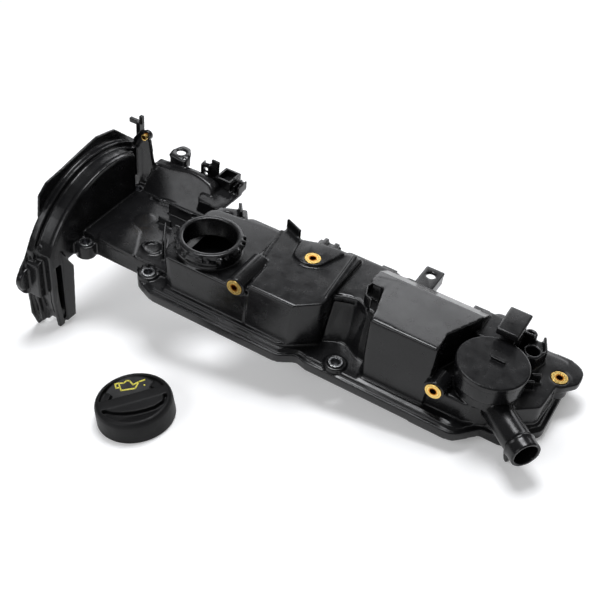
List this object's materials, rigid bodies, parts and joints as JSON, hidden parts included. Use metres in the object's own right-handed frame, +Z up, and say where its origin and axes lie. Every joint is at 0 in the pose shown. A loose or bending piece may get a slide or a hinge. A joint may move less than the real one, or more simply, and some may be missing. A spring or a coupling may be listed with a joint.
{
  "type": "engine valve cover",
  "caption": "Moulded valve cover for an engine, with timing belt arch, oil separator box, breather disc with hose stub, open filler neck and its cap lying beside it.",
  "frame": {"origin": "axis of the front bolt beside the filler neck, in the plane of the sealing face", "axes": "+X along the cover towards the breather, +Y towards its back, +Z up out of the cylinder head"},
  "size_m": [0.4536, 0.2586, 0.153],
  "materials": {
    "moulding": "satin",
    "cap": "matte",
    "seals": "matte",
    "sleeves": "satin",
    "spring": "satin",
    "inserts": "satin"
  },
  "bodies": {
    "cover": {"cover_moulding": "moulding", "perimeter_gasket": "seals", "separator_baffle": "moulding", "bolt_sleeve_1": "sleeves", "bolt_sleeve_2": "sleeves", "bolt_sleeve_3": "sleeves", "bolt_sleeve_4": "sleeves", "bolt_sleeve_5": "sleeves", "bolt_sleeve_6": "sleeves", "bolt_sleeve_7": "sleeves", "bolt_sleeve_8": "sleeves", "insert_deck": "inserts", "insert_corner": "inserts", "insert_front": "inserts", "insert_tab": "inserts", "insert_post": "inserts", "breather_cap": "moulding", "breather_diaphragm": "seals", "breather_spring": "spring", "rear_clip": "moulding", "post_clip": "moulding", "oil_cap_shell": "cap", "oil_cap_lock_ring": "cap", "oil_cap_seal": "seals"},
    "valve": {"breather_valve": "moulding"}
  },
  "joints": [
    {"name": "breather_valve_slide", "type": "slide", "parent": "cover", "child": "valve", "axis": [0, 0, 1], "range_m": [-0.003, 0], "stiffness_N_per_m": 300, "springref_m": 0.002, "deforming": ["breather_spring", "breather_diaphragm"]}
  ]
}
